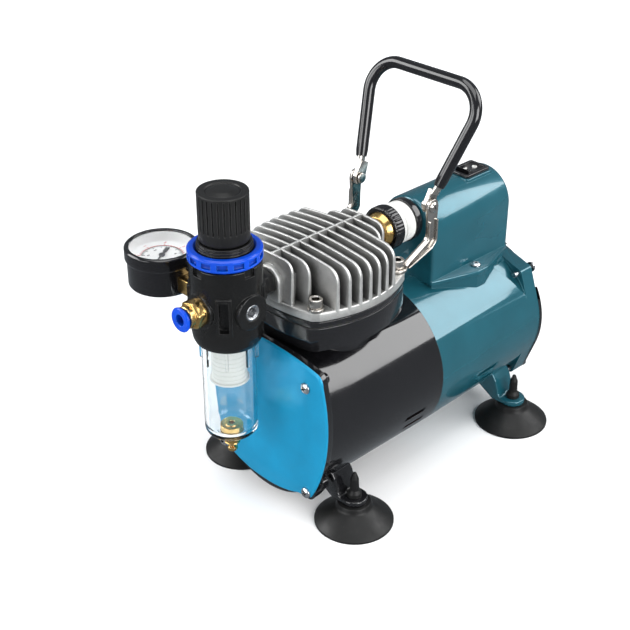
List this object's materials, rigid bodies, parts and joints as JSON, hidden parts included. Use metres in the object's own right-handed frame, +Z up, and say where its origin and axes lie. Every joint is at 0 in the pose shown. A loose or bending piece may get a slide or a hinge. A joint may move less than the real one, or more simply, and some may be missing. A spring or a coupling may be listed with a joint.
{
  "type": "airbrush compressor",
  "caption": "Oil-free piston compressor on suction feet, with finned head, folding handle, rocker switch, pressure switch and filter regulator with gauge.",
  "frame": {"origin": "centre of the bounding box, on the floor plane under the suction feet", "axes": "+X to the right seen from the regulator end, +Y from the regulator end to the motor end, +Z up"},
  "size_m": [0.1426, 0.2505, 0.2295],
  "materials": {
    "black_casting": "gloss black lacquer",
    "blue_cover": "metallic blue gloss",
    "teal_casing": "dark teal gloss",
    "zinc_screws": "bright zinc",
    "nickel_plate": "satin nickel",
    "bare_steel": "satin",
    "cast_disc": "machined",
    "copper_wire": "enamelled copper",
    "cast_aluminium": "blasted casting",
    "seal": "matt",
    "black_plastic": "fine grain",
    "gloss_black": "gloss",
    "black_regulator": "satin black",
    "white_plastic": "satin",
    "brass": "turned",
    "blue_plastic": "gloss",
    "clear_plastic": "clear polycarbonate",
    "filter_medium": "sintered, porous",
    "needle_paint": "grey paint",
    "black_rubber": "matt"
  },
  "bodies": {
    "compressor": {"crankcase": "black_casting", "front_cover": "blue_cover", "cover_screws": "zinc_screws", "motor_shell": "teal_casing", "rear_cover": "black_casting", "stator_core": "bare_steel", "stator_windings": "copper_wire", "motor_bearings": "bare_steel", "cylinder": "black_casting", "head_gaskets": "seal", "valve_plate": "black_casting", "reed_valves": "bare_steel", "cylinder_head": "cast_aluminium", "head_screws": "nickel_plate", "switch_box": "teal_casing", "switch_box_screws": "zinc_screws", "switch_bezel": "gloss_black", "capacitor": "cast_aluminium", "terminal_block": "white_plastic", "cable_gland": "black_plastic", "pressure_switch_adapter": "brass", "pressure_switch_body": "white_plastic", "pressure_switch_caps": "gloss_black", "handle_bracket_left": "nickel_plate", "handle_bracket_right": "nickel_plate", "handle_rivets": "nickel_plate", "foot_front_left": "black_rubber", "foot_front_right": "black_rubber", "foot_rear_left": "black_rubber", "foot_rear_right": "black_rubber", "outlet_nipple": "black_regulator", "regulator_body": "black_regulator", "regulator_bonnet": "black_regulator", "regulator_spring": "bare_steel", "port_plug": "zinc_screws", "push_fitting": "brass", "filter_element": "filter_medium", "gauge_stem": "brass", "gauge_case": "gloss_black", "gauge_dial": "white_plastic", "gauge_lens": "clear_plastic"},
    "rotor": {"motor_shaft": "bare_steel", "rotor_core": "bare_steel", "cooling_fan": "black_plastic", "crank_disc": "cast_disc"},
    "piston_group": {"piston": "cast_aluminium", "piston_seal": "seal", "connecting_rod": "cast_aluminium", "big_end_bearing": "bare_steel"},
    "handle": {"handle_bail": "nickel_plate", "handle_grip": "gloss_black"},
    "adjuster": {"adjusting_spindle": "brass"},
    "knob": {"pressure_knob": "black_plastic"},
    "ring": {"lock_ring": "blue_plastic"},
    "bowl": {"filter_bowl": "clear_plastic", "drain_valve": "brass"},
    "drain": {"drain_pin": "brass"},
    "collet": {"push_collet": "blue_plastic"},
    "needle": {"gauge_needle": "needle_paint"},
    "switch_rocker": {"rocker": "gloss_black"}
  },
  "joints": [
    {"name": "motor_spin", "type": "hinge", "parent": "compressor", "child": "rotor", "pos_m": [0, 0, 0.0594], "axis": [0, 1, 0], "continuous": true},
    {"name": "piston_stroke", "type": "slide", "parent": "compressor", "child": "piston_group", "axis": [0, 0, 1], "range_m": [0, 0.013]},
    {"name": "handle_fold", "type": "hinge", "parent": "compressor", "child": "handle", "pos_m": [0, 0.0298, 0.1634], "axis": [1, 0, 0], "range_deg": [-62, 110]},
    {"name": "knob_turn", "type": "hinge", "parent": "compressor", "child": "adjuster", "pos_m": [0, -0.0941, 0.18], "axis": [0, 0, 1], "range_deg": [-360, 360]},
    {"name": "knob_pull", "type": "slide", "parent": "adjuster", "child": "knob", "axis": [0, 0, 1], "range_m": [0, 0.004]},
    {"name": "lock_ring_turn", "type": "hinge", "parent": "compressor", "child": "ring", "pos_m": [0, -0.0941, 0.17], "axis": [0, 0, 1], "range_deg": [-180, 180]},
    {"name": "bowl_turn", "type": "hinge", "parent": "compressor", "child": "bowl", "pos_m": [0, -0.0941, 0.1], "axis": [0, 0, 1], "range_deg": [0, 30]},
    {"name": "drain_push", "type": "slide", "parent": "bowl", "child": "drain", "axis": [0, 0, 1], "range_m": [0, 0.002], "stiffness_N_per_m": 200},
    {"name": "collet_push", "type": "slide", "parent": "compressor", "child": "collet", "axis": [0, 1, 0], "range_m": [0, 0.0012], "stiffness_N_per_m": 300},
    {"name": "needle_sweep", "type": "hinge", "parent": "compressor", "child": "needle", "pos_m": [-0.0526, -0.0941, 0.148], "axis": [0, 0, 1], "range_deg": [-270, 0], "stiffness_Nm_per_rad": 0.0001},
    {"name": "rocker_turn", "type": "hinge", "parent": "compressor", "child": "switch_rocker", "pos_m": [0, 0.097, 0.153], "axis": [1, 0, 0], "range_deg": [0, 18]}
  ]
}
